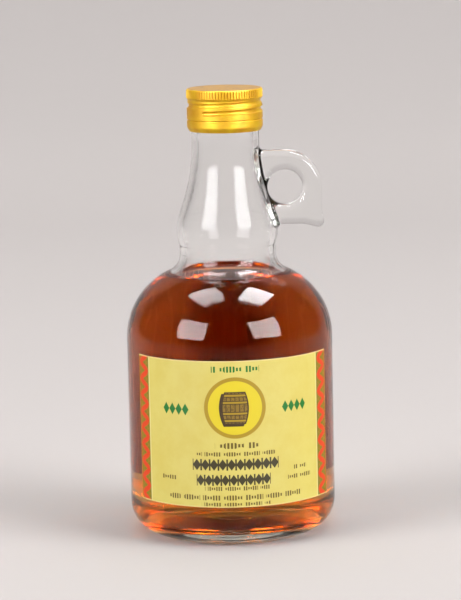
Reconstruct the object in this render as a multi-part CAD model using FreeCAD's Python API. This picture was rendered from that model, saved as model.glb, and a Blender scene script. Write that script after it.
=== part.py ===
import FreeCAD, Part

import math
import os

V = FreeCAD.Vector
TOUCH = 1e-4

# A half-litre jug bottle of rum, standing on its base. Millimetres, +Z up, with the origin at
# the middle of the base. The handle is on the +X side and the front label faces -Y.

# Glass, outside
BODY_RADIUS = 43.85
NECK_RADIUS = 14.3
WAIST_RADIUS = 20.4
BULGE_RADIUS = 22.5
LIP_HEIGHT = 188.2
HEEL_ROUNDING = 12.7
SHOULDER_HEIGHT = 103.4
SHOULDER_SLOPE = 24.0
SHOULDER_ROUNDING = 31.0
WAIST_ROUNDING = 8.0
BULGE_FOOT_HEIGHT = 122.3
BULGE_FOOT_ROUNDING = 2.5
BULGE_HEIGHT = 129.7
BULGE_ROUNDING = 18.0
NECK_FOOT_HEIGHT = 153.2
NECK_ROUNDING = 80.0
LIP_ROUNDING = 1.0

# Glass, inside
WALL = 2.8
FLOOR_EDGE_HEIGHT = 6.0
FLOOR_MIDDLE_HEIGHT = 9.2
FLOOR_ROUNDING = 9.0

# Hollow under the base, with a plain ring raised on its roof
HOLLOW_RADIUS = 28.8
HOLLOW_DEPTH = 3.8
BASE_RING_RADIUS = 9.0
BASE_RING_WIDTH = 1.2
BASE_RING_PROUD = 0.5

# Handle: a ring drawn out into a short tail at its lower outer corner
HANDLE_CENTRE = (24.8, 146.6)
HANDLE_RADIUS = 15.8
FINGER_HOLE_RADIUS = 7.4
HANDLE_THICKNESS = 8.6
HANDLE_EDGE_ROUNDING = 2.6
HANDLE_SIDE_INSET = 0.4
HANDLE_SIDE_FOOT = 136.6
HANDLE_SIDE_ROUNDING = 12.0
HANDLE_TIP = (42.0, 128.3)
HANDLE_TIP_ROUNDING = 2.6
HANDLE_NOTCH = (32.8, 130.8)
HANDLE_NOTCH_ROUNDING = 8.0
HANDLE_ROOT_FOOT = 130.5
HANDLE_ROOT_ROUNDING = 1.8

# Drink
RUM_LEVEL = 108.5

# Screw cap, rolled from one aluminium cup
CAP_TOP = 189.0
CAP_BOTTOM = 171.2
CAP_RADIUS = 16.1
CAP_BORE = 14.4
CAP_TOP_ROUNDING = 0.9
CAP_SKIRT_RADIUS = 16.0
CAP_HEM_RADIUS = 15.1
CAP_HEM_HEIGHT = 1.7
CAP_HEM_ROUNDING = 2.0
KNURL_FOOT = 185.3
KNURL_FOOT_ROUNDING = 0.8
KNURL_COUNT = 80
KNURL_DEPTH = 0.42
KNURL_GROOVE_SHARE = 0.68
KNURL_TOP_GAP = 0.4
BELOW_KNURL_RADIUS = 15.6
BELOW_KNURL_TOP = 184.4
BELOW_KNURL_FOOT = 183.1
SKIRT_TOP = 181.7
SKIRT_ROUNDING = 1.5
CUTTER_CLEARANCE = 0.2
BEAD_HEIGHT = 176.0
BEAD_GROOVE_RADIUS = 0.45
BEAD_GROOVE_DEPTH = 0.35
THREAD_PITCH = 3.3
THREAD_TURNS = 1.37
THREAD_START_HEIGHT = 179.3
THREAD_START_ANGLE = -32.0
THREAD_GROOVE_RADIUS = 1.1
THREAD_GROOVE_DEPTH = 1.0

# Paper labels on the straight part of the body
LABEL_THICKNESS = 0.2
FRONT_LABEL_BOTTOM = 18.2
FRONT_LABEL_TOP = 80.0
FRONT_LABEL_MIDDLE = 2.0
FRONT_LABEL_HALF_ANGLE = 62.0
BACK_LABEL_BOTTOM = 18.2
BACK_LABEL_TOP = 80.0
BACK_LABEL_MIDDLE = 180.0
BACK_LABEL_HALF_ANGLE = 46.0


def polar(radius, angle, height):
    """Point at a radius, an angle in degrees from the front (-Y) towards +X, and a height."""
    turn = math.radians(angle)
    return V(radius * math.sin(turn), -radius * math.cos(turn), height)


def rounded_path(corners):
    """Edges through (x, z, rounding) corners in the XZ plane, with a tangent arc at each corner."""
    places = [V(x, 0, z) for x, z, rounding in corners]
    edges = []
    start = places[0]
    for before, place, after, corner in zip(places, places[1:], places[2:], corners[1:]):
        back = (before - place).normalize()
        ahead = (after - place).normalize()
        half = back.getAngle(ahead) / 2
        reach = corner[2] / math.tan(half)
        middle_way = (back + ahead).normalize()
        enter = place + back * reach
        leave = place + ahead * reach
        crown = place + middle_way * (corner[2] / math.sin(half) - corner[2])
        if start.distanceToPoint(enter) > TOUCH:
            edges.append(Part.LineSegment(start, enter).toShape())
        if corner[2] > 0:
            edges.append(Part.Arc(enter, crown, leave).toShape())
        start = leave
    edges.append(Part.LineSegment(start, places[-1]).toShape())
    return edges


def line(*points):
    """Straight edges through (x, z) points in the XZ plane."""
    places = [V(x, 0, z) for x, z in points]
    return [Part.LineSegment(a, b).toShape() for a, b in zip(places, places[1:])]


def turned(edges):
    """Solid turned about the Z axis from a closed outline in the XZ plane."""
    face = Part.Face(Part.Wire(Part.__sortEdges__(edges)))
    return face.revolve(V(0, 0, 0), V(0, 0, 1), 360)


def wall_corners(inset):
    """Corners of the body, shoulder, waist, bulge and neck, moved in by a wall thickness."""
    slope = math.radians(SHOULDER_SLOPE)
    body = BODY_RADIUS - inset
    waist = WAIST_RADIUS - inset
    shoulder = SHOULDER_HEIGHT - inset * (1 / math.cos(slope) - math.tan(slope))
    waist_foot = shoulder + (body - waist) * math.tan(slope)
    return [
        (body, shoulder, SHOULDER_ROUNDING - inset),
        (waist, waist_foot, WAIST_ROUNDING + inset),
        (waist, BULGE_FOOT_HEIGHT, BULGE_FOOT_ROUNDING + inset),
        (BULGE_RADIUS - inset, BULGE_HEIGHT, BULGE_ROUNDING - inset),
        (NECK_RADIUS - inset, NECK_FOOT_HEIGHT, NECK_ROUNDING + inset),
    ]


def hollow_under_base():
    """The shallow round hollow that leaves the bottle standing on a ring, less its raised ring."""
    sphere_radius = (HOLLOW_RADIUS ** 2 + HOLLOW_DEPTH ** 2) / (2 * HOLLOW_DEPTH)
    hollow = Part.makeSphere(sphere_radius, V(0, 0, HOLLOW_DEPTH - sphere_radius))
    hollow = hollow.common(Part.makeCylinder(HOLLOW_RADIUS + 1, HOLLOW_DEPTH + 1))
    inner = BASE_RING_RADIUS - BASE_RING_WIDTH / 2
    outer = BASE_RING_RADIUS + BASE_RING_WIDTH / 2
    roof_over_ring = HOLLOW_DEPTH - BASE_RING_RADIUS ** 2 / (2 * sphere_radius)
    foot = V(0, 0, roof_over_ring - BASE_RING_PROUD)
    ring = Part.makeCylinder(outer, HOLLOW_DEPTH, foot).cut(Part.makeCylinder(inner, HOLLOW_DEPTH, foot))
    return hollow.cut(ring)


def bottle_outside():
    corners = [(0, 0, 0), (BODY_RADIUS, 0, HEEL_ROUNDING)] + wall_corners(0)
    corners += [(NECK_RADIUS, LIP_HEIGHT, LIP_ROUNDING), (0, LIP_HEIGHT, 0)]
    return turned(rounded_path(corners) + line((0, LIP_HEIGHT), (0, 0)))


def cavity(top):
    """The space inside the glass, from the floor up to a height inside the neck or above it."""
    corners = [(0, FLOOR_MIDDLE_HEIGHT, 0), (BODY_RADIUS - WALL, FLOOR_EDGE_HEIGHT, FLOOR_ROUNDING)]
    corners += wall_corners(WALL) + [(NECK_RADIUS - WALL, top, 0)]
    edges = rounded_path(corners)
    return turned(edges + line((NECK_RADIUS - WALL, top), (0, top), (0, FLOOR_MIDDLE_HEIGHT)))


def handle():
    """The handle's plate with its finger hole, still running into the neck."""
    x, z = HANDLE_CENTRE
    top = z + HANDLE_RADIUS
    right = x + HANDLE_RADIUS
    root = x - HANDLE_RADIUS
    outline = rounded_path([
        (root, top, 0),
        (right, top, HANDLE_RADIUS),
        (right - HANDLE_SIDE_INSET, HANDLE_SIDE_FOOT, HANDLE_SIDE_ROUNDING),
        (*HANDLE_TIP, HANDLE_TIP_ROUNDING),
        (*HANDLE_NOTCH, HANDLE_NOTCH_ROUNDING),
        (root, HANDLE_ROOT_FOOT, 0),
    ])
    outline += line((root, HANDLE_ROOT_FOOT), (root, top))
    wire = Part.Wire(Part.__sortEdges__(outline))
    wire.translate(V(0, -HANDLE_THICKNESS / 2, 0))
    plate = Part.Face(wire).extrude(V(0, HANDLE_THICKNESS, 0))
    hole = Part.makeCylinder(FINGER_HOLE_RADIUS, 2 * HANDLE_THICKNESS, V(x, -HANDLE_THICKNESS, z), V(0, 1, 0))
    plate = plate.cut(hole)
    flat = [edge for edge in plate.Edges if edge.BoundBox.YLength < TOUCH]
    rim = [edge for edge in flat if edge.BoundBox.XMax > root + TOUCH]
    return plate.makeFillet(HANDLE_EDGE_ROUNDING, rim)


def lies_on(edge, *solids):
    """Whether an edge's middle lies on the surface of every one of the solids."""
    middle = Part.Vertex(edge.valueAt((edge.FirstParameter + edge.LastParameter) / 2))
    return all(shell.distToShape(middle)[0] < TOUCH for solid in solids for shell in solid.Shells)


def glass_bottle():
    outside = bottle_outside()
    ring = handle()
    glass = outside.fuse(ring)
    root = [edge for edge in glass.Edges if lies_on(edge, outside, ring)]
    glass = glass.makeFillet(HANDLE_ROOT_ROUNDING, root)
    return glass.cut(cavity(LIP_HEIGHT + 1)).cut(hollow_under_base())


def rum():
    level = Part.makeCylinder(BODY_RADIUS, RUM_LEVEL)
    return cavity(LIP_HEIGHT).common(level)


def cap_blank():
    """The cap before its knurl and thread are rolled in."""
    outside = rounded_path([
        (0, CAP_TOP, 0),
        (CAP_RADIUS, CAP_TOP, CAP_TOP_ROUNDING),
        (CAP_RADIUS, KNURL_FOOT, KNURL_FOOT_ROUNDING),
        (BELOW_KNURL_RADIUS, BELOW_KNURL_TOP, KNURL_FOOT_ROUNDING),
        (BELOW_KNURL_RADIUS, BELOW_KNURL_FOOT, SKIRT_ROUNDING),
        (CAP_SKIRT_RADIUS, SKIRT_TOP, SKIRT_ROUNDING),
        (CAP_SKIRT_RADIUS, CAP_BOTTOM + CAP_HEM_HEIGHT, CAP_HEM_ROUNDING),
        (CAP_HEM_RADIUS, CAP_BOTTOM, 0),
    ])
    inside = line((CAP_HEM_RADIUS, CAP_BOTTOM), (CAP_BORE, CAP_BOTTOM), (CAP_BORE, LIP_HEIGHT),
                  (0, LIP_HEIGHT), (0, CAP_TOP))
    return turned(outside + inside)


def knurl_cutters():
    """Slim upright prisms that leave the ribs of the knurled band between them."""
    cutters = []
    height = CAP_TOP - KNURL_TOP_GAP - KNURL_FOOT
    for index in range(KNURL_COUNT):
        angle = 360 * index / KNURL_COUNT
        step = 180 / KNURL_COUNT * KNURL_GROOVE_SHARE
        corners = [polar(CAP_RADIUS + CUTTER_CLEARANCE, angle - step, KNURL_FOOT),
                   polar(CAP_RADIUS - KNURL_DEPTH, angle, KNURL_FOOT),
                   polar(CAP_RADIUS + CUTTER_CLEARANCE, angle + step, KNURL_FOOT)]
        face = Part.Face(Part.makePolygon(corners + corners[:1]))
        cutters.append(face.extrude(V(0, 0, height)))
    return cutters


def thread_groove():
    """The helical groove that the cap's thread leaves on its outside."""
    centre_radius = CAP_RADIUS - THREAD_GROOVE_DEPTH + THREAD_GROOVE_RADIUS
    helix = Part.makeHelix(THREAD_PITCH, THREAD_PITCH * THREAD_TURNS, centre_radius)
    circle = Part.Wire(Part.Circle(V(centre_radius, 0, 0), V(0, 1, 0), THREAD_GROOVE_RADIUS).toShape())
    groove = Part.Wire(helix).makePipeShell([circle], True, True)
    for end in (0, THREAD_TURNS):
        bead = Part.makeSphere(THREAD_GROOVE_RADIUS, V(centre_radius, 0, 0))
        bead.rotate(V(0, 0, 0), V(0, 0, 1), 360 * end)
        bead.translate(V(0, 0, THREAD_PITCH * end))
        groove = groove.fuse(bead)
    groove.rotate(V(0, 0, 0), V(0, 0, 1), THREAD_START_ANGLE - 90)
    groove.translate(V(0, 0, THREAD_START_HEIGHT))
    return groove


def bead_groove():
    """The straight groove round the lower skirt."""
    middle_radius = CAP_SKIRT_RADIUS + BEAD_GROOVE_RADIUS - BEAD_GROOVE_DEPTH
    return Part.makeTorus(middle_radius, BEAD_GROOVE_RADIUS, V(0, 0, BEAD_HEIGHT))


def cap():
    shell = cap_blank().cut(bead_groove()).cut(thread_groove())
    return shell.cut(Part.Compound(knurl_cutters()))


def label(middle, half_angle, bottom, top):
    """A paper label wrapped on the straight part of the body."""
    foot = V(0, 0, bottom)
    height = top - bottom
    outer = Part.makeCylinder(BODY_RADIUS + LABEL_THICKNESS, height, foot, V(0, 0, 1), 2 * half_angle)
    paper = outer.cut(Part.makeCylinder(BODY_RADIUS, height, foot))
    paper.rotate(V(0, 0, 0), V(0, 0, 1), middle - 90 - half_angle)
    return paper


def front_label():
    return label(FRONT_LABEL_MIDDLE, FRONT_LABEL_HALF_ANGLE, FRONT_LABEL_BOTTOM, FRONT_LABEL_TOP)


def back_label():
    return label(BACK_LABEL_MIDDLE, BACK_LABEL_HALF_ANGLE, BACK_LABEL_BOTTOM, BACK_LABEL_TOP)


def write(name, shape):
    solids = shape.Solids
    if len(solids) != 1 or not solids[0].isValid():
        raise RuntimeError(f"{name}: {len(solids)} solids, valid {[s.isValid() for s in solids]}")
    solids[0].exportStep(f"parts/{name}.step")
    box = solids[0].BoundBox
    print(f"{name}: {solids[0].Volume / 1000:.2f} ml, x {box.XMin:.2f} to {box.XMax:.2f}, "
          f"y {box.YMin:.2f} to {box.YMax:.2f}, z {box.ZMin:.2f} to {box.ZMax:.2f}")


os.makedirs("parts", exist_ok=True)
write("glass_bottle", glass_bottle())
write("rum", rum())
write("cap", cap())
write("label_front", front_label())
write("label_back", back_label())
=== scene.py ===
# %% [markdown]
# # A half-litre jug bottle of rum
# The bottle is clear glass with a small ring handle fused to its neck, a rolled gold screw cap,
# a printed front label and a plain back label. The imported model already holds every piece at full
# size, which is an estimate, so this lesson gives each piece its finish. It makes anew only what the
# solid can't show: the drink, which has to wet the glass with no film of air between them.

# %% The fixed frame
import math

import bpy
from mathutils import Matrix, Vector


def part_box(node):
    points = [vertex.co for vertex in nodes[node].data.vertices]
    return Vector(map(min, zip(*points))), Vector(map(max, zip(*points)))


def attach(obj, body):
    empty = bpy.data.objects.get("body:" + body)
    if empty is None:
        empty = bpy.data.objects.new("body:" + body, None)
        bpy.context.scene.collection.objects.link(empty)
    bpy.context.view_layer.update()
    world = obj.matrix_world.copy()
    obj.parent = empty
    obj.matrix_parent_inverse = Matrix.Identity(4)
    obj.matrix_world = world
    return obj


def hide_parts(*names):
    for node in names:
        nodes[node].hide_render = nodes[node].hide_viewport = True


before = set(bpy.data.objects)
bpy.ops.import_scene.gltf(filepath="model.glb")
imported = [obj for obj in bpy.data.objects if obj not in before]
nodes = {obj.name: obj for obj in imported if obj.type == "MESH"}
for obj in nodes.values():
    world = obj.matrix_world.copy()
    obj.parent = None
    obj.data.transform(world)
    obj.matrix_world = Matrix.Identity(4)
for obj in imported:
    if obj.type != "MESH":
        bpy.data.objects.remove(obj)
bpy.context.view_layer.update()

MM = 0.001
print("CAD nodes:", sorted(nodes))

# %% [markdown]
# ## Sizes that the frame gives
# Each piece's place is in its vertices, so a node's box says where it is. The prints, the level
# of the drink and the wear on the cap are all laid out from these few numbers.

# %% Sizes read from the frame
LABEL_THICKNESS = 0.2 * MM

glass_low, glass_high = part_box("glass_bottle")
rum_low, rum_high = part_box("rum")
cap_low, cap_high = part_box("cap")
label_low, label_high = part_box("label_front")
BODY_RADIUS = -label_low.y - LABEL_THICKNESS
print(f"body {2 * BODY_RADIUS / MM:.1f} mm across, glass {(glass_high.z - glass_low.z) / MM:.1f} mm high")
print(f"drink from {rum_low.z / MM:.1f} to {rum_high.z / MM:.1f} mm, cap from {cap_low.z / MM:.1f} mm up")

# %% [markdown]
# ## Working by hand
# Every operator acts on what is selected, and the loaded nodes come in selected, so each new
# piece starts by clearing the selection. Points are then picked in code, by their place.

# %% Clearing and picking
def start_clean():
    if bpy.context.object and bpy.context.object.mode != "OBJECT":
        bpy.ops.object.mode_set(mode="OBJECT")
    bpy.ops.object.select_all(action="DESELECT")


def pick_points(piece, wanted):
    """Opens a piece in edit mode with only the points that pass a test selected."""
    start_clean()
    piece.select_set(True)
    bpy.context.view_layer.objects.active = piece
    bpy.ops.object.mode_set(mode="EDIT")
    bpy.ops.mesh.select_mode(type="VERT")
    bpy.ops.mesh.select_all(action="DESELECT")
    bpy.ops.object.mode_set(mode="OBJECT")
    for point in piece.data.vertices:
        point.select = wanted(point.co)
    bpy.ops.object.mode_set(mode="EDIT")


# %% [markdown]
# A lathe turns a clay pot and Spin turns an outline: one point is drawn out into a line by
# extruding it step by step, and the line is spun once round the Z axis. The doubled points at
# the seam and on the axis are merged before the faces are turned outwards.

# %% The lathe
def lathe(name, outline, steps=160):
    start_clean()
    bpy.ops.mesh.primitive_plane_add(size=MM)
    piece = bpy.context.object
    piece.name = name
    bpy.ops.object.mode_set(mode="EDIT")
    bpy.ops.mesh.merge(type="CENTER")
    radius, height = outline[0]
    bpy.ops.transform.translate(value=(radius, 0, height))
    for (here_r, here_z), (next_r, next_z) in zip(outline, outline[1:]):
        step = (next_r - here_r, 0, next_z - here_z)
        bpy.ops.mesh.extrude_region_move(TRANSFORM_OT_translate={"value": step})
    bpy.ops.mesh.select_all(action="SELECT")
    bpy.ops.mesh.spin(steps=steps, angle=math.tau, center=(0, 0, 0), axis=(0, 0, 1))
    bpy.ops.mesh.select_all(action="SELECT")
    bpy.ops.mesh.remove_doubles(threshold=1e-6)
    bpy.ops.mesh.normals_make_consistent(inside=False)
    bpy.ops.object.mode_set(mode="OBJECT")
    bpy.ops.object.shade_smooth()
    print(f"{name}: {len(piece.data.polygons)} faces from {len(outline)} points")
    return piece


# %% [markdown]
# ## Shader maths as sums
# Maths in a shader reads best as sums, so `Wire` wraps a socket and answers to the usual signs
# by adding a Math node. `Finish` is one material or world, and its `add` makes any other node.

# %% A socket that can be used in sums
class Wire:
    def __init__(self, finish, socket):
        self.finish = finish
        self.socket = socket

    def out(self, name):
        """Another output of the same node."""
        return Wire(self.finish, self.socket.node.outputs[name])

    def maths(self, operation, *values):
        return self.finish.add("ShaderNodeMath", {"operation": operation}, dict(enumerate((self, *values))))

    def __add__(self, other):
        return self.maths("ADD", other)

    def __sub__(self, other):
        return self.maths("SUBTRACT", other)

    def __rsub__(self, other):
        return self.maths("MULTIPLY_ADD", -1.0, other)

    def __mul__(self, other):
        return self.maths("MULTIPLY", other)

    def __truediv__(self, other):
        return self.maths("DIVIDE", other)

    def __abs__(self):
        return self.maths("ABSOLUTE")

    def most(self, other):
        return self.maths("MAXIMUM", other)

    def under(self, reach, edge):
        """1 where the value is less than reach and 0 past it, over a soft edge of that width."""
        return self.finish.add("ShaderNodeMapRange", {"interpolation_type": "SMOOTHSTEP"},
                               {"Value": self, "From Min": reach - edge / 2, "From Max": reach + edge / 2,
                                "To Min": 1.0, "To Max": 0.0})

    __radd__ = __add__
    __rmul__ = __mul__


# %% A material or world and its nodes
class Finish:
    def __init__(self, name, owner=None):
        self.owner = owner or bpy.data.materials.new(name)
        self.owner.use_nodes = True
        self.tree = self.owner.node_tree
        self.tree.nodes.clear()
        kind = "World" if owner else "Material"
        self.end = self.tree.nodes.new("ShaderNodeOutput" + kind)

    def add(self, kind, settings=None, inputs=None):
        node = self.tree.nodes.new(kind)
        for name, value in (settings or {}).items():
            setattr(node, name, value)
        for name, value in (inputs or {}).items():
            if isinstance(value, Wire):
                self.tree.links.new(value.socket, node.inputs[name])
            else:
                node.inputs[name].default_value = value
        return Wire(self, next(socket for socket in node.outputs if socket.enabled))

    def mix(self, low, high, share):
        """Goes from one colour to another by a share from 0 to 1."""
        return self.add("ShaderNodeMix", {"data_type": "RGBA"}, {0: share, 6: low, 7: high})

    def place(self):
        """Object coordinates in metres, whole and as x, y and z."""
        spot = self.add("ShaderNodeTexCoord").out("Object")
        x = self.add("ShaderNodeSeparateXYZ", {}, {0: spot})
        return spot, x, x.out("Y"), x.out("Z")

    def noise(self, spot, scale, detail=2.0, roughness=0.5):
        """Soft random blotches from 0 to 1, about 0.5 on average."""
        return self.add("ShaderNodeTexNoise", {}, {
            "Vector": spot, "Scale": scale, "Detail": detail, "Roughness": roughness})

    def bump(self, height, strength, distance):
        return self.add("ShaderNodeBump", {}, {"Height": height, "Strength": strength, "Distance": distance})

    def surface(self, **sockets):
        """A Principled surface with these sockets, spelt with _ for a space."""
        wanted = {name.replace("_", " "): value for name, value in sockets.items()}
        self.finish_with("Surface", self.add("ShaderNodeBsdfPrincipled", {}, wanted))

    def finish_with(self, slot, wire):
        self.tree.links.new(wire.socket, self.end.inputs[slot])

    def cover(self, *pieces):
        for piece in pieces:
            piece.data.materials.clear()
            piece.data.materials.append(self.owner)
        print(f"{self.owner.name}: {len(self.tree.nodes)} nodes on {', '.join(p.name for p in pieces)}")


# %% [markdown]
# Under these lamps white paper would come out brighter than the picture's white. A colour is named
# as it should look, and `ink` works out the darker paint that looks so.

# %% Colours as they look under the lamps
LAMP_LIGHT = 1.6


def ink(red, green, blue):
    """The paint, in linear light, that looks like this colour of 0 to 255 under the lamps."""
    def linear(value):
        share = value / 255
        return (share / 12.92 if share <= 0.04045 else ((share + 0.055) / 1.055) ** 2.4) / LAMP_LIGHT
    return (linear(red), linear(green), linear(blue), 1.0)


# %% [markdown]
# ## The glass
# Bottle glass is colourless over a few millimetres and a little green through the thick base, so
# the tint is an absorption inside the glass rather than a colour on it. A pressed bottle is never
# quite even, and two slow bumps make the reflections swim a little, as they do on the real wall.
# At full strength the mirror seen square on laid a grey veil over the dark drink, so the specular
# tint weakens it there. At a grazing angle it stays whole, and the outline keeps its bright edge.

# %% Clear bottle glass
NO_TINT = (1.0, 1.0, 1.0, 1.0)
GLASS_SHEEN = (0.16, 0.16, 0.16, 1.0)
GLASS_IOR = 1.5
GLASS_TINT = (0.78, 0.86, 0.74, 1.0)
GLASS_DENSITY = 9.0
SLOW_WAVES, QUICK_WAVES = 22.0, 75.0
QUICK_SHARE = 0.25
WAVE_STRENGTH = 0.35
WAVE_DEPTH = 1.2 * MM

glass = Finish("clear_glass")
spot = glass.place()[0]
slow = glass.noise(spot, SLOW_WAVES, detail=1.0)
quick = glass.noise(spot, QUICK_WAVES, detail=1.0)
waves = glass.bump(slow + QUICK_SHARE * quick, WAVE_STRENGTH, WAVE_DEPTH)
glass.surface(Base_Color=NO_TINT, Specular_Tint=GLASS_SHEEN, Roughness=0.0, IOR=GLASS_IOR,
              Transmission_Weight=1.0, Normal=waves)
glass.finish_with("Volume", glass.add("ShaderNodeVolumeAbsorption", {}, {
    "Color": GLASS_TINT, "Density": GLASS_DENSITY}))
glass.cover(nodes["glass_bottle"])

# %% [markdown]
# ## The drink
# The rum has to reach just into the wall, or a film of air would show as a mirror all round it.
# Its outline is read from the CAD drink where that crosses the XZ plane and is moved out a
# quarter of a millimetre into the glass.

# %% The drink's outline
INTO_WALL = 0.25 * MM
NEAR_AXIS = 5 * MM
TINY = 1e-6


def outline_of(node):
    """Points of a turned node in the half plane to +X, each the nearest one to the last."""
    points = [v.co for v in nodes[node].data.vertices if abs(v.co.y) < TINY and v.co.x > -TINY]
    left = {(round(max(p.x, 0), 6), round(p.z, 6)) for p in points}
    here = min(left)
    line = []
    while left:
        here = min(left, key=lambda p: math.dist(p, here))
        line.append(here)
        left.remove(here)
    return line


def moved_out(line, distance):
    """The same line moved sideways, away from the axis and down."""
    places = [Vector(p) for p in line]
    moved = []
    for index, place in enumerate(places):
        before = places[max(index - 1, 0)]
        after = places[min(index + 1, len(places) - 1)]
        along = (after - before).normalized()
        moved.append(place + Vector((along.y, -along.x)) * distance)
    moved[0].x = 0.0
    return [tuple(p) for p in moved]


wetted = [p for p in outline_of("rum") if p[0] > NEAR_AXIS or p[1] < rum_high.z / 2]
wall = moved_out(wetted, INTO_WALL)
print(len(wall), "points up the wall, from", wall[0], "to", wall[-1])

# %% [markdown]
# Spirits wet clean glass, so the surface climbs the wall by about a millimetre. Seen from the
# side that small curl is the dark line that marks the level.

# %% The drink, turned
CLIMB = 1.1 * MM
CLIMB_REACH = 1.5 * MM
CLIMB_RINGS = 14
CLIMB_WIDTH = 4 * CLIMB_REACH
CLIMB_CROWDING = 1.6

(low_r, low_z), (edge_r, edge_z) = wall[-2:]
lean = (edge_r - low_r) / (edge_z - low_z)
curl = []
for ring in range(CLIMB_RINGS + 1):
    inward = CLIMB_WIDTH * (ring / CLIMB_RINGS) ** CLIMB_CROWDING
    rise = CLIMB * math.exp(-inward / CLIMB_REACH)
    curl.append((edge_r + lean * CLIMB - inward, rum_high.z + rise))
drink = lathe("rum_drink", wall[:-1] + curl + [(0.0, rum_high.z)])
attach(drink, "root")
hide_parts("rum")

# %% [markdown]
# Rum takes its colour from depth: amber at the thin heel and near black through the middle. Blue
# is lost first, then green, so an absorption does it all and the surface itself has no colour. Its
# own mirror is weakened like the glass's, because it lies in the glass wall.

# %% Rum
RUM_IOR = 1.36
RUM_SHEEN = (0.1, 0.1, 0.1, 1.0)
RUM_TINT = (0.88, 0.655, 0.18, 1.0)
RUM_DENSITY = 70.0

amber = Finish("rum")
amber.surface(Base_Color=NO_TINT, Specular_Tint=RUM_SHEEN, Roughness=0.0, IOR=RUM_IOR,
              Transmission_Weight=1.0)
amber.finish_with("Volume", amber.add("ShaderNodeVolumeAbsorption", {}, {
    "Color": RUM_TINT, "Density": RUM_DENSITY}))
amber.cover(drink)

# %% [markdown]
# ## The cap
# The cap is rolled from lacquered aluminium. The clear gold lacquer makes it softer than bare
# metal, and its flat top has rubbed to a paler, pinker tone with a few scuffs.

# %% Gold lacquer
GOLD = ink(228, 184, 14)
DEEP_GOLD = ink(212, 152, 8)
RUBBED_TOP = ink(170, 130, 72)
SCUFF = ink(150, 120, 80)
LACQUER_GLOSS = 0.3
LACQUER_METAL = 0.4
TOP_RADIUS, TOP_EDGE = 15.4 * MM, 0.8 * MM
TOP_DEPTH, TOP_DEPTH_EDGE = 0.25 * MM, 0.3 * MM

gold = Finish("gold_cap")
spot, x, y, z = gold.place()
across = (x * x + y * y).maths("SQRT")
cloud = gold.noise(spot, 180.0, detail=3.0)
fine = gold.noise(spot, 900.0, detail=2.0)
on_top = (cap_high.z - z).under(TOP_DEPTH, TOP_DEPTH_EDGE) * across.under(TOP_RADIUS, TOP_EDGE)
scuffs = on_top * gold.noise(spot, 260.0, detail=4.0, roughness=0.7).under(0.46, 0.1)
tone = gold.mix(DEEP_GOLD, GOLD, 1.0 - cloud.under(0.5, 0.5))
tone = gold.mix(tone, RUBBED_TOP, on_top * 0.9)
tone = gold.mix(tone, SCUFF, scuffs * 0.85)
gold.surface(Base_Color=tone, Metallic=LACQUER_METAL, Specular_IOR_Level=LACQUER_GLOSS,
             Roughness=0.38 + 0.14 * fine + 0.12 * on_top,
             Normal=gold.bump(cloud + 0.3 * fine, 0.25, 0.12 * MM))
gold.cover(nodes["cap"])

# %% [markdown]
# ## The front label
# Cream paper is printed with a disc, two patterned side bands and rows of small ornament. The
# print is laid out on the unrolled label: `along` runs round the bottle from the front towards
# +X, and z runs up, both in millimetres. Ink covers only the outer face of the paper.

# %% The unrolled label
class Print(Finish):
    """A finish laid out in millimetres on the outside of a label."""

    def __init__(self, name, behind=False):
        super().__init__(name)
        self.spot, x, y, z = self.place()
        front = y if behind else -1.0 * y
        angle = ((-1.0 * x) if behind else x).maths("ARCTAN2", front)
        self.along = angle * (BODY_RADIUS / MM)
        self.up = z / MM
        self.radius = (x * x + y * y).maths("SQRT") / MM
        self.outer_face = 1.0 - self.radius.under(BODY_RADIUS / MM + 0.1, 0.02)

    def panel(self, left, right, low, high, edge=0.15):
        """A filled rectangle with crisp sides."""
        wide = abs(self.along - (left + right) / 2).under((right - left) / 2, edge)
        return wide * abs(self.up - (low + high) / 2).under((high - low) / 2, edge)

    def disc(self, along, up, radius, edge=0.2):
        far_along = self.along - along
        far_up = self.up - up
        return (far_along * far_along + far_up * far_up).maths("SQRT").under(radius, edge)

    def ripple(self, value, length):
        """A zigzag from 0 to 1 and back over each length."""
        return value.maths("PINGPONG", length / 2) * (2 / length)


# %% Rows of ornament
STROKE_SHARE, STROKE_EDGE = 0.60, 0.3
TALL_EVERY, TALL_SHARE = 5.3, 0.62
BREAK_EVERY, RUN_SHARE = 7.7, 0.86
SHORT_HEIGHT, HEIGHT_GAIN = 0.56, 0.44


def ticks(label, left, right, low, high, pitch, lean=0.0):
    """A row of small upright ticks of uneven height, broken into short runs."""
    span = label.panel(left, right, low, high)
    across = label.along + lean * label.up
    stroke = label.ripple(across, pitch).under(STROKE_SHARE, STROKE_EDGE)
    middle = (low + high) / 2
    tall = label.ripple(across + 0.4 * pitch, TALL_EVERY * pitch).under(TALL_SHARE, 0.2)
    reach = (SHORT_HEIGHT + HEIGHT_GAIN * tall) * ((high - low) / 2)
    height = (abs(label.up - middle) / reach).under(1.0, 0.2)
    breaks = label.ripple(across, BREAK_EVERY * pitch).under(RUN_SHARE, 0.08)
    return span * stroke * height * breaks


def lozenges(label, left, right, low, high, pitch):
    """A row of upright lozenges."""
    middle = (low + high) / 2
    sideways = 1.0 - label.ripple(label.along - left, pitch)
    upward = abs(label.up - middle) / ((high - low) / 2)
    return (sideways + upward).under(1.0, 0.16) * label.panel(left, right, low, high)


def frieze(label, left, right, low, high, pitch):
    """Bold bars and lozenges by turns."""
    gems = lozenges(label, left, right, low, high, pitch)
    bars = label.ripple(label.along - left, pitch).under(0.20, 0.1) * label.panel(left, right, low, high)
    return gems.most(bars)


# %% [markdown]
# The side bands are a common zigzag braid: a red ribbon with an orange edge weaves over an olive
# ground and swells at each turn, and a thin orange thread crosses it.

# %% The braid
BRAID_LENGTH = 7.0
SWELL = 0.85
RIBBON_SWING, THREAD_SWING = 3.9, 4.6


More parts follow.
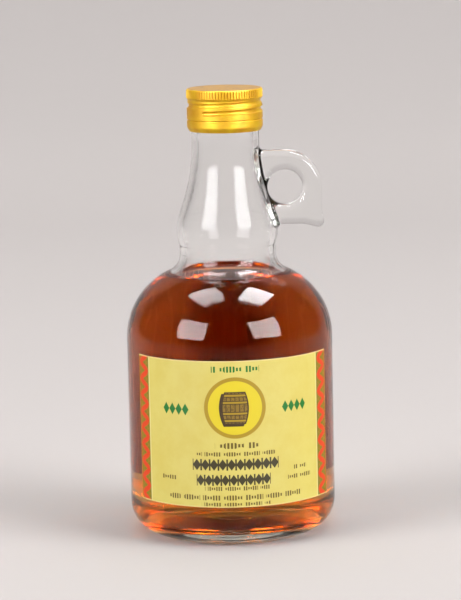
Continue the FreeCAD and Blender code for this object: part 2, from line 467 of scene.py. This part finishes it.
def braid(label, tone, outer, inner):
    """Paints one side band between its outer and inner edges on the unrolled label."""
    left, right = min(outer, inner), max(outer, inner)
    low, high = label_low.z / MM, label_high.z / MM
    middle = (outer + inner) / 2
    swing = label.ripple(label.up, BRAID_LENGTH) - 0.5
    leaf = 1.0 + SWELL * label.ripple(label.up, BRAID_LENGTH / 2)
    ribbon = abs(label.along - middle - RIBBON_SWING * swing) / leaf
    thread = abs(label.along - middle + THREAD_SWING * swing)
    band = label.panel(left, right, low, high)
    ground = label.mix(OLIVE, DARK_OLIVE, label.noise(label.spot, 300.0))
    ground = label.mix(ground, ORANGE, thread.under(0.45, 0.3) * 0.35)
    ground = label.mix(ground, ORANGE, ribbon.under(1.35, 0.2) * 0.7)
    ground = label.mix(ground, RED, ribbon.under(1.05, 0.2))
    ground = label.mix(ground, ORANGE, abs(label.along - outer).under(0.7, 0.3) * 0.85)
    ground = label.mix(ground, DARK_OLIVE, abs(label.along - inner).under(0.6, 0.3) * 0.7)
    tone = label.mix(tone, ground, band)
    # A thin bright cream line along the band's inner edge is a painted highlight.
    return label.mix(tone, BRIGHT_CREAM, abs(label.along - inner).under(0.35, 0.2))


# %% The inks and the bare paper
CREAM = ink(232, 212, 104)
PALE_CREAM = ink(238, 222, 118)
BRIGHT_CREAM = ink(250, 232, 150)
OLIVE = ink(156, 146, 18)
DARK_OLIVE = ink(128, 112, 10)
ORANGE = ink(214, 118, 40)
RED = ink(242, 72, 16)
OCHRE = ink(186, 152, 18)
YELLOW = ink(244, 220, 28)
OAK = ink(150, 118, 26)
DARK_OAK = ink(66, 42, 6)
GREEN = ink(10, 124, 34)
FINE_PRINT = ink(112, 92, 22)
BOLD_PRINT = ink(30, 18, 0)
PAPER_GLOSS = 0.2
BARE_PAPER = (0.86, 0.80, 0.66, 1.0)


def cream_paper(label):
    """How mottled the paper is, and its two creams mixed by that."""
    mottle = label.noise(label.spot, 120.0, detail=4.0, roughness=0.6)
    return mottle, label.mix(CREAM, PALE_CREAM, 1.0 - mottle.under(0.5, 0.5))


def lay_on_paper(label, tone, mottle):
    """Gives a label its colour on paper that is a little creased and uneven in its gloss."""
    creases = label.noise(label.spot, 60.0, detail=5.0, roughness=0.6)
    label.surface(Base_Color=tone, Roughness=0.42 + 0.2 * mottle, Specular_IOR_Level=PAPER_GLOSS,
                  Normal=label.bump(creases, 0.3, 0.25 * MM))


# %% [markdown]
# The picture in the disc is a plain standing cask: curved sides, staves, four hoops and a heavy
# shadow line down its left side and under its foot.

# %% The cask in the disc
STAVES = 6
MIDDLE_HOOP, END_HOOP = 0.34, 0.78
HOOP_HALF, HOOP_RIM = 0.07, 0.085


def cask(label, tone, along, up, half_width, half_height):
    height = (label.up - up) / half_height
    belly = half_width * (1.0 - 0.24 * (height * height))
    sideways = abs(label.along - along)
    tall = abs(height)
    body = (sideways / belly).under(1.0, 0.04) * tall.under(1.0, 0.03)
    shadow_side = abs(label.along - along + 0.7) / belly
    shadow_up = abs((label.up - up + 0.8) / half_height)
    shadow = shadow_side.under(1.05, 0.04) * shadow_up.under(1.02, 0.03)
    outline = body * (1.0 - (sideways / belly).under(0.90, 0.04) * tall.under(0.93, 0.03))
    unbent = ((label.along - along) / belly) * half_width
    staves = label.ripple(unbent, 2 * half_width / STAVES).under(0.22, 0.1)
    grain = label.noise(label.spot, 1400.0, detail=3.0).under(0.44, 0.05)
    hoops = abs(tall - MIDDLE_HOOP).under(HOOP_HALF, 0.02)
    hoops = hoops.most(abs(tall - END_HOOP).under(HOOP_HALF, 0.02))
    tone = label.mix(tone, DARK_OAK, shadow)
    tone = label.mix(tone, OAK, body)
    tone = label.mix(tone, DARK_OAK, body * staves.most(grain * 0.6) * 0.8)
    tone = label.mix(tone, OCHRE, body * hoops)
    edges = abs(abs(tall - MIDDLE_HOOP) - HOOP_RIM).under(0.025, 0.01)
    edges = edges.most(abs(abs(tall - END_HOOP) - HOOP_RIM).under(0.025, 0.01))
    return label.mix(tone, DARK_OAK, outline.most(body * edges))


# %% The printed front
DISC_ALONG, DISC_UP = 1.6, 60.3
DISC_RADIUS, DISC_FIELD = 12.9, 11.3

label = Print("front_label")
mottle, tone = cream_paper(label)
tone = braid(label, tone, -45.9, -38.7)
tone = braid(label, tone, 49.0, 41.3)
tone = label.mix(tone, OCHRE, label.disc(DISC_ALONG, DISC_UP, DISC_RADIUS))
tone = label.mix(tone, YELLOW, label.disc(DISC_ALONG, DISC_UP, DISC_FIELD))
tone = cask(label, tone, DISC_ALONG, DISC_UP - 0.1, 5.7, 6.8)
print("front label, so far", len(label.tree.nodes), "nodes")

# %% [markdown]
# The rows stand where the lettering would be, in like sizes, and say nothing. Each row of fine print
# is given by its left and right ends, its foot and top, and the distance from tick to tick.

# %% Its rows of ornament
FINE_ROWS = (
    (-7.1, 11.2, 43.1, 45.6, 1.5),
    (-14.9, 18.6, 39.9, 41.7, 1.05),
    (-11.8, 15.6, 25.3, 27.1, 0.95),
    (-28.3, 30.6, 21.2, 23.4, 1.15),
    (-13.3, 15.9, 18.7, 20.3, 1.1),
    (-33.1, -24.6, 29.2, 31.0, 1.2),
    (27.3, 33.9, 32.3, 34.1, 1.1),
    (24.2, 36.3, 28.4, 30.2, 1.1),
)
RIM_WIDTH = 0.45

green = ticks(label, -8.1, 11.9, 75.2, 77.8, 1.35)
green = green.most(lozenges(label, -30.4, -18.1, 56.8, 61.8, 3.07))
green = green.most(lozenges(label, 21.9, 33.9, 56.9, 61.9, 3.0))
tone = label.mix(tone, GREEN, green)
fine = ticks(label, *FINE_ROWS[0])
for row in FINE_ROWS[1:]:
    fine = fine.most(ticks(label, *row))
tone = label.mix(tone, FINE_PRINT, fine)
bold = frieze(label, -16.8, 19.8, 33.9, 38.7, 3.66)
bold = bold.most(frieze(label, -15.2, 16.1, 27.4, 32.1, 3.48))
tone = label.mix(tone, BOLD_PRINT, bold * 0.95)
rim = abs(label.up - (label_low.z + label_high.z) / 2 / MM)
rim = 1.0 - rim.under((label_high.z - label_low.z) / 2 / MM - RIM_WIDTH, 0.2)
tone = label.mix(tone, BRIGHT_CREAM, rim * 0.8)
tone = label.mix(BARE_PAPER, tone, label.outer_face)
lay_on_paper(label, tone, mottle)
label.cover(nodes["label_front"])

# %% [markdown]
# ## The back label
# Only slivers of the back label show from the front, and they are plain paper. Its outer face is
# given the same cream with a fine border and a few bars, so that it doesn't look unfinished. The
# inner face is painted darker down its middle as painted shade. That is a guess, made because the
# drink in front of it is darkest there.

# %% The back label's print
INNER_PAINTED_SHADE = (0.40, 0.22, 0.12, 1.0)
INNER_SHADE_HALF_WIDTH, INNER_SHADE_EDGE = 8.0, 10.0
BORDER_OUTSIDE, BORDER_INSIDE = 2.5, 3.3
TEXT_ROWS = 7
ROW_STEP = 4.6

back_low, back_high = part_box("label_back")
back = Print("back_label", behind=True)
half = math.degrees(math.atan2(back_high.x, back_low.y)) * math.radians(BODY_RADIUS / MM)
low, high = back_low.z / MM, back_high.z / MM
mottle, tone = cream_paper(back)


def inset(gap):
    """The whole label less a margin all round."""
    return back.panel(gap - half, half - gap, low + gap, high - gap)


border = inset(BORDER_OUTSIDE) * (1.0 - inset(BORDER_INSIDE))
marks = border.most(lozenges(back, -12.0, 12.0, high - 14.0, high - 8.5, 4.0))
for row in range(TEXT_ROWS):
    foot = high - 22.0 - ROW_STEP * row
    marks = marks.most(ticks(back, -22.0 + 3 * (row % 2), 22.0 - 4 * (row % 3), foot, foot + 1.8, 1.15))
tone = back.mix(tone, FINE_PRINT, marks * 0.95)
# Painted shade: the inner face is darker down its middle.
inner_tone = back.mix(BARE_PAPER, INNER_PAINTED_SHADE, abs(back.along).under(INNER_SHADE_HALF_WIDTH, INNER_SHADE_EDGE))
tone = back.mix(inner_tone, tone, back.outer_face)
lay_on_paper(back, tone, mottle)
back.cover(nodes["label_back"])

# %% [markdown]
# ## The stage
# A sweep of pale paper lies under the bottle and curves up behind it, and plain floor of the same
# paper lies all round, so that every view has a floor. Light that the rum gathers would fall on the
# paper behind the bottle as a warm patch. The traced picture doesn't show it, so it is painted there.

# %% The paper sweep and the floor round it
SWEEP_HALF_WIDTH = 0.5
SWEEP_FRONT = -0.3
CURVE_START = 1.0
CURVE_RADIUS = 1.2
CURVE_STEPS = 48
WALL_RISE = 1.5
FLOOR_REACH = 3.0


def flat_sheet(name, low, high):
    start_clean()
    bpy.ops.mesh.primitive_plane_add(size=1.0)
    bpy.ops.object.mode_set(mode="EDIT")
    bpy.ops.transform.resize(value=(high[0] - low[0], high[1] - low[1], 1.0))
    bpy.ops.transform.translate(value=((low[0] + high[0]) / 2, (low[1] + high[1]) / 2, 0.0))
    bpy.ops.object.mode_set(mode="OBJECT")
    bpy.context.object.name = name
    return bpy.context.object


sweep = flat_sheet("sweep", (-SWEEP_HALF_WIDTH, SWEEP_FRONT), (SWEEP_HALF_WIDTH, CURVE_START))
apron = flat_sheet("apron", (-FLOOR_REACH, -FLOOR_REACH), (FLOOR_REACH, SWEEP_FRONT))
left_wing = flat_sheet("left_wing", (-FLOOR_REACH, SWEEP_FRONT), (-SWEEP_HALF_WIDTH, CURVE_START))
right_wing = flat_sheet("right_wing", (SWEEP_HALF_WIDTH, SWEEP_FRONT), (FLOOR_REACH, CURVE_START))
for sheet in (sweep, left_wing, right_wing):
    pick_points(sheet, lambda point: point.y > CURVE_START - MM)
    bpy.ops.mesh.spin(steps=CURVE_STEPS, angle=-math.pi / 2, axis=(1, 0, 0),
                      center=(0, CURVE_START, CURVE_RADIUS))
    bpy.ops.mesh.extrude_region_move(TRANSFORM_OT_translate={"value": (0, 0, WALL_RISE)})
    bpy.ops.object.mode_set(mode="OBJECT")
    bpy.ops.object.shade_smooth()
    print(sheet.name, "rises to", round(max(v.co.z for v in sheet.data.vertices), 2))

# %% Pale paper
GLOW = (1.0, 0.46, 0.06, 1.0)
NO_GLOW = (0.0, 0.0, 0.0, 1.0)
GLOW_STRENGTH = 0.40
GLOW_HALF_WIDTH, GLOW_SIDE_EDGE = 38 * MM, 18 * MM
GLOW_HALF_LENGTH, GLOW_END_EDGE = 46 * MM, 60 * MM
GLOW_MIDDLE = 58 * MM
PAINTED_CAUSTIC_TINT = (0.5, 0.25, 0.05, 1.0)
PAINTED_CAUSTIC_SHARE = 0.5
PAPER = (0.467, 0.436, 0.427, 1.0)
FAR_PAPER_PAINTED_SHADE = (0.37, 0.344, 0.337, 1.0)
PAINTED_SHADE_START, PAINTED_SHADE_EDGE = 1.45, 0.9

paper = Finish("pale_paper")
_, x, y, _ = paper.place()
# Painted light: a warm patch behind the bottle glows and is warmed in colour, for the light the rum would
# gather there.
glow = abs(x).under(GLOW_HALF_WIDTH, GLOW_SIDE_EDGE)
glow = glow * abs(y - GLOW_MIDDLE).under(GLOW_HALF_LENGTH, GLOW_END_EDGE)
# Painted shade: the paper is painted darker towards the back and up the curve, for lamp light that falls off
# with distance.
sheet = paper.mix(FAR_PAPER_PAINTED_SHADE, PAPER, y.under(PAINTED_SHADE_START, PAINTED_SHADE_EDGE))
paper.surface(Base_Color=paper.mix(sheet, PAINTED_CAUSTIC_TINT, glow * PAINTED_CAUSTIC_SHARE), Roughness=0.95,
              Specular_IOR_Level=0.0, Emission_Strength=GLOW_STRENGTH,
              Emission_Color=paper.mix(NO_GLOW, GLOW, glow))
paper.cover(sweep, apron, left_wing, right_wing)

# %% [markdown]
# ## Light
# Four soft boxes shine: one to each side of the camera and two overhead. Their reflections are the
# four bright windows on the shoulder, and they are only mirrored or seen through glass. Four more
# boxes and a ceiling lamp light what is matt and aren't mirrored, so the two can be set apart.

# %% Soft boxes
def soft_box(name, place, aim, size, brightness, shine):
    """An area lamp as bright as stated, where 1 is the white of the picture. A shine lamp is only
    mirrored or seen through glass, and any other only lights what is matt."""
    turn = (Vector(aim) - Vector(place)).to_track_quat("-Z", "Y").to_euler()
    bpy.ops.object.light_add(type="AREA", location=place, rotation=turn)
    light = bpy.context.object
    light.name = name
    light.data.shape = "RECTANGLE"
    light.data.size, light.data.size_y = size
    light.data.energy = brightness * math.pi * size[0] * size[1]
    light.visible_camera = False
    light.visible_diffuse = not shine
    light.visible_glossy = shine
    light.visible_transmission = shine
    print(f"{name}: {light.data.energy:.1f} W")


def from_bottle(bearing, rise, distance):
    """A place at a bearing in degrees from the front towards +X, a rise in degrees and a distance."""
    bearing, rise = math.radians(bearing), math.radians(rise)
    flat = distance * math.cos(rise)
    return (flat * math.sin(bearing), -flat * math.cos(bearing), 0.1 + distance * math.sin(rise))


MID_BOTTLE = (0, 0, 0.1)
LEFT_TOP, LEFT_AIM = (-0.42, -0.1, 1.5), (-0.05, 0, 0.1)
RIGHT_TOP, RIGHT_AIM = (0.55, -0.1, 1.5), (0.05, 0, 0.1)
CEILING, CEILING_AIM = (0, 0.3, 2.6), (0, 0.3, 0)
SIDE_SIZE = (0.75, 0.62)
FAR_SIZE = (1.5, 1.24)
TOP_SIZE = (0.7, 0.6)
CEILING_SIZE = (4.0, 4.0)
LAMPS = (
    ("left_side_shine", from_bottle(-45, 22, 1.3), MID_BOTTLE, SIDE_SIZE, 38.0, True),
    ("right_side_shine", from_bottle(43, 22, 1.3), MID_BOTTLE, SIDE_SIZE, 42.0, True),
    ("left_top_shine", LEFT_TOP, LEFT_AIM, TOP_SIZE, 27.0, True),
    ("right_top_shine", RIGHT_TOP, RIGHT_AIM, TOP_SIZE, 58.0, True),
    ("left_side_light", from_bottle(-62, 20, 2.6), MID_BOTTLE, FAR_SIZE, 12.6, False),
    ("right_side_light", from_bottle(60, 20, 2.6), MID_BOTTLE, FAR_SIZE, 14.8, False),
    ("left_top_light", LEFT_TOP, LEFT_AIM, TOP_SIZE, 3.4, False),
    ("right_top_light", RIGHT_TOP, RIGHT_AIM, TOP_SIZE, 8.4, False),
    ("ceiling_light", CEILING, CEILING_AIM, CEILING_SIZE, 1.55, False),
)
for lamp in LAMPS:
    soft_box(*lamp)

# %% [markdown]
# The room is pale where it is seen directly, and paler at the sides and back than in front where it
# is seen through glass. Where it is mirrored it is nearly dark, so it lays no veil on the glass.

# %% The room
ROOM_TONE = (0.75, 0.725, 0.72, 1.0)
MIRRORED_ROOM = 0.02
SEEN_ROOM = 0.75
ROOM_THROUGH_GLASS = 0.55
FRONT_END, FRONT_EDGE = -0.4, 0.6

studio = bpy.data.worlds.new("studio")
bpy.context.scene.world = studio
room = Finish("studio", studio)
heading = room.add("ShaderNodeTexCoord").out("Generated")
behind = room.add("ShaderNodeSeparateXYZ", {}, {0: heading}).out("Y")
seen = room.add("ShaderNodeLightPath")
through_glass = seen.out("Is Transmission Ray")
not_front = 1.0 - behind.under(FRONT_END, FRONT_EDGE)
strength = MIRRORED_ROOM + SEEN_ROOM * seen + ROOM_THROUGH_GLASS * through_glass * not_front
room.finish_with("Surface", room.add("ShaderNodeBackground", {}, {
    "Color": ROOM_TONE, "Strength": strength}))

# %% [markdown]
# ## The camera
# A long lens stands 1.2 m away and looks down a little. It leans by about a degree.

# %% Camera
CAMERA_DISTANCE = 1.2
CAMERA_HEIGHT = 0.2916
CAMERA_DOWN = math.radians(9.144)
CAMERA_LEAN = math.radians(1.255)
CAMERA_PAN = 0.0006
SENSOR_WIDTH = 36.0
LENS_LENGTH = 222.8

turn = (Matrix.Rotation(-CAMERA_PAN, 3, "Z") @ Matrix.Rotation(math.pi / 2 - CAMERA_DOWN, 3, "X")
        @ Matrix.Rotation(-CAMERA_LEAN, 3, "Z"))
start_clean()
bpy.ops.object.camera_add(location=(0, -CAMERA_DISTANCE, CAMERA_HEIGHT), rotation=turn.to_euler())
camera = bpy.context.object
camera.data.sensor_fit = "HORIZONTAL"
camera.data.sensor_width = SENSOR_WIDTH
camera.data.lens = LENS_LENGTH
scene = bpy.context.scene
scene.camera = camera

# %% [markdown]
# Light that crosses a full bottle passes many walls, so it needs many bounces, or the glass turns
# black. The Standard view keeps the yellows and reds as they are mixed.

# %% Light paths and view
scene.view_settings.view_transform = "Standard"
scene.cycles.max_bounces = 26
scene.cycles.transmission_bounces = 26
scene.cycles.glossy_bounces = 10
scene.cycles.diffuse_bounces = 4
